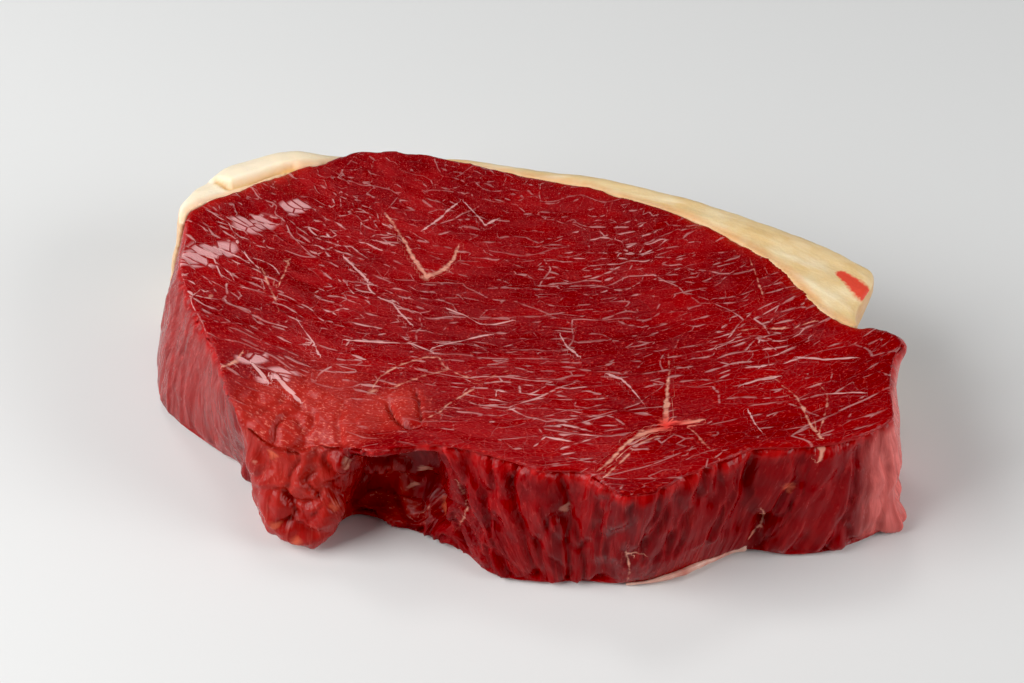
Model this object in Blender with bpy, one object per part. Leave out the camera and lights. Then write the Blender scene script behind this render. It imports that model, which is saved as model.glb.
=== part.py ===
"""Raw sirloin steak, cut 38 mm thick across the grain.

Three solids, each one closed body, in metres with +Z up:
  lean          the red muscle, from the board to the cut face
  fat_cap       the layer of fat that runs along the back edge, full height
  seam_fat      the thin lip of fat low on the front edge, where two muscles meet

The wall of the steak is lofted through ribs. A rib is one line down the wall: it starts at the
cut face and ends at the board. The ribs run counterclockwise seen from above. The fat pieces
are laid against that same wall, so they follow it with an even gap.
The origin is at the middle of the footprint, on the board.
"""

import math

import bmesh
import bpy
from mathutils import Vector, noise

MM = 0.001

# Driving dimensions, in millimetres.
THICKNESS = 38.0  # board to cut face
GAP = 0.3  # between touching solids
RIM_RADIUS = 1.2  # the cut face's edge is crisp
FOOT_RADIUS = 2.5  # the edge on the board is soft
BELLY = 1.4  # how far the wall bulges at half height
LUMP_HEIGHT = 0.7  # unevenness of the wall
LUMP_LENGTH = 17.0
FACE_SPINE = ((-48.0, 2.0), (62.0, -24.0))  # the line that the cut face closes on

# The cut face sinks where the loose flap hangs at the front left, and is fullest at the back.
SLUMP_MIDDLE, SLUMP_DEPTH, SLUMP_REACH = (-54.0, -52.0), 7.0, 19.0
CROWN_MIDDLE, CROWN_HEIGHT, CROWN_REACH = (-34.0, 52.0), 1.8, 26.0
FACE_WAVE_HEIGHT, FACE_WAVE_LENGTH = 0.5, 38.0

# The notch at the front: the wall goes in under a lip of the cut face.
NOTCH_MIDDLE, NOTCH_HALF_WIDTH, NOTCH_DEPTH = (-29.0, -54.0), 15.0, 9.0
NOTCH_LOW, NOTCH_HIGH = 0.02, 0.93  # as fractions of the height
NOTCH_RISE, NOTCH_LIP = 0.2, 0.16  # heights over which it deepens and closes again
NOTCH_FLAT = 0.45  # share of the half width that is full depth

# The flap: two lumps of loose meat beside the notch.
FLAP_LUMPS = (  # middle (x, y), height fraction, radius, how far it stands out
    ((-52.0, -53.0), 0.18, 11.0, 2.6),
    ((-57.0, -50.0), 0.55, 9.0, 2.2),
)

RIBS_BETWEEN = 4  # ribs made by the curve from one named rib to the next
WALL_LEVELS = (0.0, 0.03, 0.08, 0.18, 0.31, 0.45, 0.59, 0.73, 0.85, 0.94, 0.982, 1.0)
FACE_RINGS = (0.02, 0.09, 0.22, 0.42, 0.64, 0.84)  # from the edge towards the spine

# Ribs: (x, y) at the cut face, (x, y) at the board.
LEFT_END = (
    ((-88.5, 20), (-98.5, 17)),
    ((-88, 8), (-99, 5)),
    ((-83, -7), (-94, -9)),
    ((-76, -23), (-82, -21)),
    ((-71, -38), (-70, -30)),
    ((-66, -46), (-66, -39)),
)
FLAP = (
    ((-60, -51), (-65, -46)),
    ((-53, -52), (-58, -51)),
    ((-47, -51), (-50, -54.5)),
    ((-41, -54), (-44.5, -49)),
)
FRONT_CUT = (
    ((-33, -59), (-39, -46.5)),
    ((-22, -57.5), (-26, -53)),
    ((-12, -59), (-14, -58)),
    ((-3, -62), (-6, -67)),
    ((8, -66), (7, -70)),
    ((18, -66.5), (18, -69.5)),
    ((25, -73.5), (26, -70)),
    ((35, -72.5), (36, -68.5)),
    ((46, -66), (48, -63)),
    ((58, -59.5), (59, -59)),
    ((72, -58), (70, -61)),
    ((84, -55), (82, -59)),
    ((93.5, -48.5), (95, -52)),
)
RIGHT_END = (
    ((94.5, -37), (99.5, -44)),
    ((97, -27), (98, -31)),
    ((99.5, -20), (97, -22)),
    ((94, -15.5), (92, -17)),
)
# Ribs under the fat, and how thick the fat is on each at the cut face and at the board, and
# how far its upper edge lies under the cut face.
FAT_LINE = (
    ((88, -15), (87, -13), 2.0, 1.5, 1.0),
    ((82, -11), (82, -7), 14.0, 5.0, 0.0),
    ((77.5, -3), (77, 0), 21.5, 6.5, 0.0),
    ((73, 6), (72, 8), 17.5, 7.5, 0.0),
    ((65, 16), (64, 17), 13.5, 7.5, 0.0),
    ((52, 27.5), (51, 29), 9.8, 7.0, 0.3),
    ((36, 36), (35, 37.5), 7.6, 6.5, 0.5),
    ((20, 43), (19, 44.5), 6.2, 6.0, 0.7),
    ((4, 48), (3, 49), 5.2, 5.5, 1.0),
    ((-12, 52.5), (-13, 53), 3.6, 5.0, 1.6),
    ((-27, 57), (-29, 55), 1.8, 4.5, 3.6),
    ((-43, 57.5), (-45, 55), 2.2, 5.0, 3.6),
    ((-54, 53), (-58, 51), 6.4, 6.5, 1.0),
    ((-66, 48), (-71, 46), 10.0, 8.0, 0.0),
    ((-77, 40.5), (-84, 39.5), 10.2, 7.0, 0.0),
    ((-87, 34), (-91.5, 35), 4.8, 3.0, 0.4),
    ((-89, 28.5), (-95.5, 30), 1.2, 1.5, 1.5),
)
FAT_ROUND = 2.6  # how round the fat's outer edge is at the cut face

# The lip of fat on the front edge: named ribs it runs between, and its height and thickness.
SEAM_FAT_FIRST, SEAM_FAT_LAST = 16.25, 19.0  # counted from the first rib
SEAM_FAT_HEIGHTS = (1.0, 2.2, 3.2, 3.4, 3.2, 9.0)
SEAM_FAT_THICKNESS = 1.3
SEAM_FAT_STEPS = 6  # up its height

LEAN_COLOUR = (0.26, 0.010, 0.012)
FAT_COLOUR = (0.80, 0.62, 0.38)
SEAM_FAT_COLOUR = (0.55, 0.33, 0.24)


def clear_scene():
    for old in list(bpy.data.objects):
        bpy.data.objects.remove(old, do_unlink=True)


def blend(a, b, f):
    return a + (b - a) * f


def smooth_step(low, high, value):
    f = min(max((value - low) / (high - low), 0.0), 1.0)
    return f * f * (3 - 2 * f)


def rounding(radius, away):
    """How far a rounded edge draws the surface in, at this distance from the edge's plane."""
    within = min(max(radius - away, 0.0), radius)
    return radius - math.sqrt(radius**2 - within**2)


def catmull_rom(rows, position, closed):
    """The value at a position, counted in rows, of the curve that passes through the rows."""
    count = len(rows)
    first = math.floor(position)
    f = position - first

    def row(i):
        return rows[i % count] if closed else rows[min(max(i, 0), count - 1)]

    corners = zip(row(first - 1), row(first), row(first + 1), row(first + 2))
    return [
        b + 0.5 * f * (c - a + f * (2 * a - 5 * b + 4 * c - d + f * (3 * (b - c) + d - a)))
        for a, b, c, d in corners
    ]


def bump(point, middle, reach):
    """1 at the middle, falling smoothly to 0 at about twice the reach."""
    away = (Vector(point[:2]) - Vector(middle)).length / reach
    return math.exp(-away * away)


def face_height(x, y):
    """Height of the cut face above the board."""
    wave = noise.noise(Vector((x, y, 0)) / FACE_WAVE_LENGTH)
    return (
        THICKNESS
        + FACE_WAVE_HEIGHT * wave
        + CROWN_HEIGHT * bump((x, y), CROWN_MIDDLE, CROWN_REACH)
        - SLUMP_DEPTH * bump((x, y), SLUMP_MIDDLE, SLUMP_REACH)
    )


class Wall:
    """The steak's wall, as a function of the position along it and the height fraction."""

    def __init__(self):
        plain = LEFT_END + FLAP + FRONT_CUT + RIGHT_END
        self.ribs = [face + foot for face, foot in plain]
        self.ribs += [rib[0] + rib[1] for rib in FAT_LINE]
        self.fat_first = len(plain)

    def rib(self, position):
        x, y, foot_x, foot_y = catmull_rom(self.ribs, position, closed=True)
        return Vector((x, y)), Vector((foot_x, foot_y))

    def outward(self, position):
        step = 0.25
        before, after = self.rib(position - step), self.rib(position + step)
        along = (after[0] + after[1]) - (before[0] + before[1])
        return Vector((along.y, -along.x)).normalized()

    def bulge(self, middle, level):
        """How far the wall stands out from the straight rib, before its edges are rounded."""
        out = BELLY * math.sin(math.pi * level)
        height = level * THICKNESS
        out += LUMP_HEIGHT * noise.noise(Vector((*middle, height)) / LUMP_LENGTH)
        opening = smooth_step(NOTCH_LOW, NOTCH_LOW + NOTCH_RISE, level)
        opening *= 1 - smooth_step(NOTCH_HIGH - NOTCH_LIP, NOTCH_HIGH, level)
        across = (middle - Vector(NOTCH_MIDDLE)).length / NOTCH_HALF_WIDTH
        out -= NOTCH_DEPTH * opening * (1 - smooth_step(NOTCH_FLAT, 1.0, across))
        for lump_middle, lump_level, radius, stand_out in FLAP_LUMPS:
            across = (middle - Vector(lump_middle)).length / radius
            up = (level - lump_level) * THICKNESS / radius
            out += stand_out * math.exp(-across * across - up * up)
        return out

    def point(self, position, level):
        """The wall's point, its edges rounded."""
        face, foot = self.rib(position)
        middle = (face + foot) / 2
        top = face_height(*face)
        height = level * top
        inset = rounding(FOOT_RADIUS, height) + rounding(RIM_RADIUS, top - height)
        out = self.bulge(middle, level) - inset
        flat = blend(foot, face, level) + self.outward(position) * out
        return Vector((flat.x, flat.y, height))


def positions(first, last):
    count = round((last - first) * RIBS_BETWEEN)
    return [first + (last - first) * i / count for i in range(count + 1)]


def add_rows(mesh, rows):
    return [[mesh.verts.new(point) for point in row] for row in rows]


def bridge(mesh, first, second, closed):
    """Quads between two rows of points."""
    count = len(first)
    for i in range(count if closed else count - 1):
        j = (i + 1) % count
        mesh.faces.new((first[i], first[j], second[j], second[i]))


def spine_point(point):
    """The point of the cut face's spine that lies abreast of this one."""
    start, end = Vector(FACE_SPINE[0]), Vector(FACE_SPINE[1])
    along = (point.x - start.x) / (end.x - start.x)
    return start.lerp(end, min(max(along, 0.0), 1.0))


def lean_mesh(wall):
    mesh = bmesh.new()
    around = positions(0, len(wall.ribs))[:-1]
    rows = [[wall.point(at, level) for at in around] for level in WALL_LEVELS]
    rim = rows[-1]
    for inward in FACE_RINGS:
        level = smooth_step(FACE_RINGS[-3], FACE_RINGS[-1], inward)  # flat where it closes
        ring = [point.xy.lerp(spine_point(point), inward) for point in rim]
        rows.append([(p.x, p.y, blend(face_height(p.x, p.y), THICKNESS, level)) for p in ring])

    rows = add_rows(mesh, rows)
    for lower, upper in zip(rows, rows[1:]):
        bridge(mesh, lower, upper, closed=True)
    mesh.faces.new(rows[-1])
    mesh.faces.new(rows[0][::-1])
    return mesh


def layer_mesh(sections):
    """One closed body from sections, each an (inner, outer) pair of upward rows."""
    mesh = bmesh.new()
    inner = add_rows(mesh, [section[0] for section in sections])
    outer = add_rows(mesh, [section[1] for section in sections])
    for a, b, c, d in zip(inner, inner[1:], outer, outer[1:]):
        bridge(mesh, a, b, closed=False)
        bridge(mesh, d, c, closed=False)
        mesh.faces.new((a[-1], b[-1], d[-1], c[-1]))
        mesh.faces.new((b[0], a[0], c[0], d[0]))
    bridge(mesh, outer[0], inner[0], closed=False)
    bridge(mesh, inner[-1], outer[-1], closed=False)
    return mesh


def fat_section(wall, position):
    sizes = [rib[2:] for rib in FAT_LINE]
    at_face, at_board, drop = catmull_rom(sizes, position - wall.fat_first, closed=False)
    face, _ = wall.rib(position)
    reach = 1 - drop / face_height(*face)
    outward = wall.outward(position).to_3d()
    inner, outer = [], []
    for level in WALL_LEVELS:
        against = wall.point(position, level * reach) + outward * GAP
        thickness = blend(at_board, at_face, level)
        top = reach * face_height(*face)
        edge = min(FAT_ROUND, 0.45 * thickness)
        thickness -= rounding(edge, level * top) + rounding(edge, top - level * top)
        inner.append(against)
        outer.append(against + outward * thickness)
    return inner, outer


def seam_fat_section(wall, position):
    fraction = (position - SEAM_FAT_FIRST) / (SEAM_FAT_LAST - SEAM_FAT_FIRST)
    heights = [(height,) for height in SEAM_FAT_HEIGHTS]
    (height,) = catmull_rom(heights, fraction * (len(heights) - 1), closed=False)
    outward = wall.outward(position).to_3d()
    inner, outer = [], []
    for step in range(SEAM_FAT_STEPS + 1):
        up = (step / SEAM_FAT_STEPS) ** 2  # closest together round the foot
        against = wall.point(position, up * height / THICKNESS) + outward * GAP
        thickness = SEAM_FAT_THICKNESS * (0.35 + 0.65 * math.sin(math.pi * (0.15 + 0.7 * up)))
        inner.append(against)
        outer.append(against + outward * thickness)
    return inner, outer


def material(name, colour, roughness):
    made = bpy.data.materials.new(name)
    made.use_nodes = True
    surface = made.node_tree.nodes["Principled BSDF"]
    surface.inputs["Base Color"].default_value = (*colour, 1.0)
    surface.inputs["Roughness"].default_value = roughness
    surface.inputs["Metallic"].default_value = 0.0
    return made


def add_part(collection, name, mesh, finish):
    bmesh.ops.recalc_face_normals(mesh, faces=mesh.faces)
    bmesh.ops.scale(mesh, vec=(MM, MM, MM), verts=mesh.verts)
    data = bpy.data.meshes.new(name)
    mesh.to_mesh(data)
    mesh.free()
    data.shade_smooth()
    data.materials.append(finish)
    part = bpy.data.objects.new(name, data)
    collection.objects.link(part)
    return part


def centre_on_board(parts):
    """Moves the meshes so that the footprint's middle is the origin."""
    points = [vert.co for part in parts for vert in part.data.vertices]
    middle_x = (min(p.x for p in points) + max(p.x for p in points)) / 2
    middle_y = (min(p.y for p in points) + max(p.y for p in points)) / 2
    for point in points:
        point.x -= middle_x
        point.y -= middle_y


def main():
    clear_scene()
    collection = bpy.data.collections.new("raw_sirloin_steak")
    bpy.context.scene.collection.children.link(collection)
    wall = Wall()

    red = material("lean_meat", LEAN_COLOUR, 0.35)
    cream = material("fat", FAT_COLOUR, 0.45)
    pale = material("seam_fat", SEAM_FAT_COLOUR, 0.4)

    along_fat = positions(wall.fat_first, len(wall.ribs) - 1)
    along_seam = positions(SEAM_FAT_FIRST, SEAM_FAT_LAST)
    fat = layer_mesh([fat_section(wall, at) for at in along_fat])
    seam = layer_mesh([seam_fat_section(wall, at) for at in along_seam])
    parts = [
        add_part(collection, "lean", lean_mesh(wall), red),
        add_part(collection, "fat_cap", fat, cream),
        add_part(collection, "seam_fat", seam, pale),
    ]
    centre_on_board(parts)


main()
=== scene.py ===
"""Raw sirloin steak: a thick slice of beef, cut across the grain, with a cream fat cap.

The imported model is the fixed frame. Each piece made here stands for one of its nodes: it starts
from that node's own surface, gets small even faces, and is then shaped in finer detail.
Shapes are given in millimetres in the frame's axes: +X along the steak, +Y towards the fat,
+Z up. MM turns them to metres.
"""

import math
from functools import partial
from itertools import product

import bmesh
import bpy
import numpy as np
from bpy.props import FloatProperty, FloatVectorProperty, PointerProperty
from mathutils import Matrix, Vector
from mathutils.bvhtree import BVHTree


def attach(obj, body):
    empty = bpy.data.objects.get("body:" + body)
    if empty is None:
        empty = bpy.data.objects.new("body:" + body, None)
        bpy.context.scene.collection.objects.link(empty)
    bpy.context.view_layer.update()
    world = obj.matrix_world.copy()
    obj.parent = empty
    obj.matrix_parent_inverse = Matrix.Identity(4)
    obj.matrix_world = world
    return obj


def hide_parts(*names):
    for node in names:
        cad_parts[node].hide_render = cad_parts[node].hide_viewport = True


bl_info = {
    "name": "Raw Sirloin Steak",
    "version": (1, 0, 0),
    "blender": (4, 5, 0),
    "location": "View3D > Sidebar > Steak",
    "description": "Builds a raw sirloin steak around its packed model",
    "category": "Add Mesh",
}

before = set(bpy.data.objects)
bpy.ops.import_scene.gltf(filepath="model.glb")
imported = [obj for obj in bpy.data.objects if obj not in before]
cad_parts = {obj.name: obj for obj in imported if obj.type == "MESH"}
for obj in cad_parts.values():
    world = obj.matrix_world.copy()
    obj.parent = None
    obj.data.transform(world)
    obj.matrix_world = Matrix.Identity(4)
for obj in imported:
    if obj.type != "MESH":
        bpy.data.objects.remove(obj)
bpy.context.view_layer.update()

MM = 0.001
THICKNESS = 38.0

# ---------------------------------------------------------------------------------------------
# Colours


def srgb(code):
    """Linear colour of an sRGB hex value such as 'a01c20'."""
    parts = [int(code[i : i + 2], 16) / 255 for i in (0, 2, 4)]
    return tuple(c / 12.92 if c <= 0.04045 else ((c + 0.055) / 1.055) ** 2.4 for c in parts)


def rgba(colour):
    """The colour with an alpha of 1, as a node's socket takes it."""
    return (*colour[:3], 1.0)


# ---------------------------------------------------------------------------------------------
# Fields: one value for each point, from arrays of points in millimetres

RANDOM = np.random.RandomState(11)
ORDER = np.tile(RANDOM.permutation(256), 2)
SLOPES = RANDOM.normal(size=(256, 3))
SLOPES /= np.linalg.norm(SLOPES, axis=1, keepdims=True)
NOISE_GAIN = 1.6  # brings the values to about -1..1


def noise(points, size, seed=0):
    """Smooth random values, about -1 to 1. Size is the distance between bumps along x, y, z."""
    points = points / np.array(size, float) + 17.31 * seed
    base = np.floor(points).astype(int)
    local = points - base
    fade = local**3 * (local * (local * 6 - 15) + 10)
    total = np.zeros(len(points))
    for corner in product((0, 1), repeat=3):
        cell = (base + corner) & 255
        picked = ORDER[ORDER[ORDER[cell[:, 0]] + cell[:, 1]] + cell[:, 2]]
        share = np.prod(np.where(corner, fade, 1 - fade), axis=1)
        total += share * ((local - corner) * SLOPES[picked]).sum(axis=1)
    return total * NOISE_GAIN


def smooth_step(low, high, values):
    """0 at the low value, 1 at the high one, smooth between. Low may be the larger one."""
    f = np.clip((values - low) / (high - low), 0, 1)
    return f * f * (3 - 2 * f)


def spot(points, middle, reach):
    """1 at the middle, falling to 0.37 at the reach. Reach may differ along the axes."""
    away = (points[:, : len(middle)] - middle) / reach
    return np.exp(-(away**2).sum(axis=1))


def most_of(points, marks):
    """The largest share of any mark. A mark is a middle and a reach, as for spot."""
    return np.max([spot(points, middle, reach) for middle, reach in marks], axis=0)


def beside_line(points, line):
    """(signed distance, share of the way along) of 2-D points from a line through corners."""
    line = np.array(line, float)
    steps = np.linalg.norm(np.diff(line, axis=0), axis=1)
    starts = np.concatenate([[0], np.cumsum(steps)])
    nearest = np.full(len(points), np.inf)
    side = np.ones(len(points))
    share = np.zeros(len(points))
    for i, step in enumerate(steps):
        along = (line[i + 1] - line[i]) / step
        offset = points - line[i]
        reach = np.clip(offset @ along, 0, step)
        gap = offset - reach[:, None] * along
        away = np.linalg.norm(gap, axis=1)
        closer = away < nearest
        turned = along[0] * gap[:, 1] - along[1] * gap[:, 0]
        nearest = np.where(closer, away, nearest)
        side = np.where(closer, np.where(turned < 0, -1, 1), side)
        share = np.where(closer, (starts[i] + reach) / starts[-1], share)
    return nearest * side, share


def trench(points, line, width, depth):
    """A rounded trench along a line, deepest in the middle of its width and of its length."""
    away, share = beside_line(points, line)
    fade = smooth_step(0, 0.18, share) * smooth_step(0, 0.18, 1 - share)
    return -depth * np.exp(-((away / width) ** 2)) * (0.35 + 0.65 * fade)


# ---------------------------------------------------------------------------------------------
# Meshes


def even_mesh(node, name, face_size):
    """A new object with the node's shape in small even faces."""
    work = bmesh.new()
    work.from_mesh(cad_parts[node].data)
    bmesh.ops.remove_doubles(work, verts=work.verts, dist=1e-6)
    mesh = bpy.data.meshes.new(name)
    work.to_mesh(mesh)
    work.free()
    piece = bpy.data.objects.new(name, mesh)
    bpy.context.scene.collection.objects.link(piece)
    remesh = piece.modifiers.new("even faces", "REMESH")
    remesh.mode = "VOXEL"
    remesh.voxel_size = face_size * MM
    graph = bpy.context.evaluated_depsgraph_get()
    even = bpy.data.meshes.new_from_object(piece.evaluated_get(graph))
    piece.modifiers.clear()
    piece.data = even
    even.name = name
    bpy.data.meshes.remove(mesh)
    return piece


def points_of(mesh):
    """The mesh's points in millimetres."""
    points = np.empty(len(mesh.vertices) * 3)
    mesh.vertices.foreach_get("co", points)
    return points.reshape(-1, 3) / MM


def normals_of(mesh):
    normals = np.empty(len(mesh.vertices) * 3, np.float32)
    mesh.vertex_normals.foreach_get("vector", normals)
    return normals.reshape(-1, 3).astype(float)


def set_points(mesh, points):
    """Moves the mesh's points to these, given in millimetres."""
    mesh.vertices.foreach_set("co", (points * MM).ravel())
    mesh.update()


def relaxed(mesh, points, rounds):
    """The points, each drawn towards the mean of its neighbours."""
    edges = np.empty(len(mesh.edges) * 2, int)
    mesh.edges.foreach_get("vertices", edges)
    first, second = edges.reshape(-1, 2).T
    count = np.bincount(edges, minlength=len(points))[:, None]
    for _ in range(rounds):
        total = np.zeros_like(points)
        for axis in range(3):
            total[:, axis] = np.bincount(first, points[second, axis], len(points))
            total[:, axis] += np.bincount(second, points[first, axis], len(points))
        points = points + 0.5 * (total / count - points)
    return points


def store(mesh, name, values):
    """Keeps one number, or one vector, for each point, for the material to read."""
    kind, field = ("FLOAT", "value") if values.ndim == 1 else ("FLOAT_VECTOR", "vector")
    attribute = mesh.attributes.new(name, kind, "POINT")
    attribute.data.foreach_set(field, values.astype(np.float32).ravel())


def close_flat_foot(mesh):
    """Makes the flat underside a single face."""
    work = bmesh.new()
    work.from_mesh(mesh)
    low = 0.05 * MM
    flat = [face for face in work.faces if all(vert.co.z < low for vert in face.verts)]
    bmesh.ops.delete(work, geom=flat, context="FACES")
    open_edges = [edge for edge in work.edges if edge.is_boundary]
    for edge in open_edges:
        for vert in edge.verts:
            vert.co.z = 0.0
    loose = [vert for vert in work.verts if not vert.link_faces]
    bmesh.ops.delete(work, geom=loose, context="VERTS")
    bmesh.ops.holes_fill(work, edges=open_edges, sides=0)
    work.to_mesh(mesh)
    work.free()


def finish_piece(piece, node, material):
    """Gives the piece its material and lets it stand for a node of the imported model."""
    piece.data.shade_smooth()
    piece.data.materials.clear()
    piece.data.materials.append(material)
    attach(piece, "root")
    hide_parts(node)


# ---------------------------------------------------------------------------------------------
# Materials

MATH, VECTOR_MATH, MIX = "ShaderNodeMath", "ShaderNodeVectorMath", "ShaderNodeMix"
NOISE, VORONOI, MAP_RANGE = "ShaderNodeTexNoise", "ShaderNodeTexVoronoi", "ShaderNodeMapRange"
MIX_FACTOR, MIX_A, MIX_B, MIX_RESULT = 0, 6, 7, 2  # a colour Mix node's sockets


def add_node(tree, kind, inputs, output=0, **settings):
    """Adds a node, and gives the output that is asked for, or all outputs if that is None.

    Inputs are in the node's order, or named. One that is given a socket is linked to it.
    """
    node = tree.nodes.new(kind)
    for name, value in settings.items():
        setattr(node, name, value)
    for name, value in inputs.items() if isinstance(inputs, dict) else enumerate(inputs):
        if isinstance(value, bpy.types.NodeSocket):
            tree.links.new(value, node.inputs[name])
        else:
            node.inputs[name].default_value = value
    return node.outputs if output is None else node.outputs[output]


def empty_material(name):
    """A new material, and a function that adds a node to it."""
    material = bpy.data.materials.new(name)
    material.use_nodes = True
    material.node_tree.nodes.clear()
    return material, partial(add_node, material.node_tree)


def noises(add, place, kinds):
    """Noise patterns by name. Each kind is a name, its size along x, y, z in millimetres, and detail."""
    made = {}
    for name, size, detail in kinds:
        shrunk = add(VECTOR_MATH, (place, tuple(1 / side for side in size)), operation="MULTIPLY")
        made[name] = add(NOISE, {"Vector": shrunk, "Scale": 1.0, "Detail": detail}, "Fac")
    return made


def layered(add, colour, layers):
    """The colour, with each layer's colour laid over it where its mask is above 0."""
    for mask, tint in layers:
        colour = add(MIX, {MIX_FACTOR: mask, MIX_A: colour, MIX_B: tint}, MIX_RESULT, data_type="RGBA")
    return colour


# ---------------------------------------------------------------------------------------------
# Lean meat

GRAIN_MIDDLE = (7.5, 111.4)  # the fibre bundles lie in arcs around this point
GRAIN_RADIUS = 95.0

# Fat and silverskin between muscles, as lines on the cut face: corners, half width at each end.
SEAMS = (
    (((-35, 36), (-32, 30.5), (-29, 24), (-26.5, 17.5), (-23, 11)), 0.35, 0.75),
    (((-23, 11), (-18.5, 14), (-16, 18.5), (-15, 23)), 0.95, 0.4),
    (((37, -43.5), (37.5, -38), (38, -32), (39, -25), (39, -19)), 0.9, 0.12),
    (((37, -43.5), (41.5, -43.5), (45, -43)), 1.0, 0.7),
    (((37, -45), (33, -46.5), (30.5, -48), (27, -51), (23.5, -55.5), (20.5, -59)), 0.9, 0.3),
    (((40, -47.5), (34, -49), (30.5, -51), (26, -56), (22, -61)), 0.15, 0.35),
    (((42.5, -45.5), (45, -49.5), (47.5, -53.5), (48.5, -55.5)), 0.3, 0.15),
    (((57, -10.5), (61.5, -9.5), (66, -9), (72, -8.5), (77.5, -7)), 0.3, 0.2),
    (((64, -26.5), (67, -30.5), (70, -34.5), (71, -38.5), (72.5, -44.5), (74, -48)), 0.2, 0.5),
    (((76, -30.5), (77.5, -33), (77, -37.5), (76, -41), (74, -46.5)), 0.1, 0.3),
    (((63, 17), (64, 11.5), (64.5, 7.5), (65, 3.5), (65.5, 0.5)), 0.12, 0.2),
    (((-35.5, -30.5), (-33.5, -27), (-30, -24), (-26.5, -22), (-22.5, -20), (-19, -20)), 0.3, 0.3),
    (((-19, -20), (-17.5, -23.5), (-13.5, -26.5), (-9, -29), (-6, -28), (-2, -25.5)), 0.25, 0.15),
    (((-29.5, -30.5), (-26, -29), (-22.5, -27), (-17.5, -25)), 0.25, 0.2),
    (((-22.5, -42.5), (-18, -40), (-15.5, -36.5), (-12, -33.5), (-8.5, -31)), 0.2, 0.2),
    (((-74, -22.5), (-72, -22), (-70, -20.5), (-69, -18)), 0.6, 0.3),
    (((-66.5, 13), (-64.5, 7.5), (-62.5, 3), (-61, -2)), 0.3, 0.2),
    (((-60, 17), (-60.5, 13), (-61.5, 8)), 0.45, 0.2),
)
PALE_SPOTS = (  # x, y, radius of bits of fat on the cut face
    (-23, 11, 1.9),
    (-18, 14.5, 1.5),
    (37.5, -43.5, 2.4),
    (44, -43, 1.2),
    (31, -47, 1.3),
    (-79, 3.5, 0.9),
    (-70, -21, 1.0),
    (-60.5, 17, 0.9),
    (-35.5, -31, 1.2),
)
STAR = (38.0, -44.0)  # the largest fat star, red in its middle
SKIN_AND_GLINT_LINES = (  # long bright skins on the cut face, painted pale partly as skin and partly as painted glints: corners, half width at each end
    (((-24.1, 30.0), (-20.1, 34.8), (-15.4, 41.3)), 0.35, 0.3),
    (((-13.4, 41.8), (-10.9, 37.8), (-7.8, 32.2), (-5.1, 34.8)), 0.2, 0.4),
    (((-45.0, 18.3), (-42.1, 14.2), (-38.7, 9.3)), 0.25, 0.45),
    (((-31.4, 0.1), (-29.5, -3.4), (-26.4, -7.6)), 0.2, 0.35),
    (((-66.0, -21.6), (-64.2, -23.8), (-62.3, -26.3)), 0.3, 0.5),
    (((-59.8, -25.2), (-57.1, -28.1), (-53.8, -31.4)), 0.4, 0.6),
    (((-20.5, -16.7), (-16.3, -14.5), (-11.2, -12.6), (-6.6, -11.4)), 0.3, 0.25),
    (((-17.3, -1.8), (-12.6, -4.5), (-8.7, -7.6), (-4.9, -7.6), (-0.8, -6.5)), 0.25, 0.2),
    (((-42.6, -13.0), (-35.4, -14.1), (-25.9, -14.9), (-20.7, -18.2)), 0.3, 0.2),
    (((-51.9, -14.9), (-50.6, -15.2), (-49.6, -17.8)), 0.3, 0.3),
    (((-55.6, -6.5), (-53.5, -10.3), (-50.3, -15.2)), 0.15, 0.2),
    (((57.8, -40.2), (58.7, -43.7), (59.9, -46.4)), 0.3, 0.12),
    (((24.0, -27.0), (26.4, -28.1), (28.8, -31.0), (31.7, -37.1)), 0.4, 0.12),
    (((57.9, -29.9), (61.3, -28.1), (65.4, -27.0)), 0.4, 0.5),
    (((72.1, -20.4), (78.3, -21.2), (85.5, -20.4)), 0.3, 0.3),
    (((77.4, -33.5), (81.9, -33.5), (86.1, -33.5)), 0.2, 0.25),
    (((11.8, -11.4), (13.7, -16.4), (15.9, -19.7)), 0.15, 0.4),
)
CROWDED = (  # x, y, reach: where the skins between bundles, with their painted glints, show most
    (-75, 18, 22),
    (-45, 28, 16),
    (-40, -5, 20),
    (28, 20, 18),
    (62, -16, 20),
    (0, -34, 18),
    (14, -46, 14),
)
PAINTED_HIGHLIGHT_PATCHES = (  # x, y, reach: flat bundle ends painted pale as highlights
    (-86.3, 17.8, 5.0),
    (-80, 22, 5.0),
    (-71, 33, 5.0),
    (-59, 40.5, 4.0),
    (-59, -25.5, 3.5),
    (-66, -19, 3.0),
)
BROAD_FOLDS = (  # corners, width and depth of shallow folds across the cut face
    (((-72, 40), (-60, 24), (-52, 8), (-46, -8), (-42, -20)), 4.0, 0.8),
    (((-12, 42), (8, 30), (26, 24), (44, 18)), 5.0, 0.9),
    (((-30, -8), (-8, -14), (14, -14), (36, -8)), 5.0, 0.7),
    (((48, 12), (60, -2), (76, -14), (90, -18)), 4.0, 0.8),
)

# The small muscle at the front edge has finer bundles. Its back edge, as corners.
SMALL_MUSCLE = ((19, -64), (24, -59.5), (30, -57), (34, -51), (37, -48), (42.5, -48), (47.5, -52), (54, -58))

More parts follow.
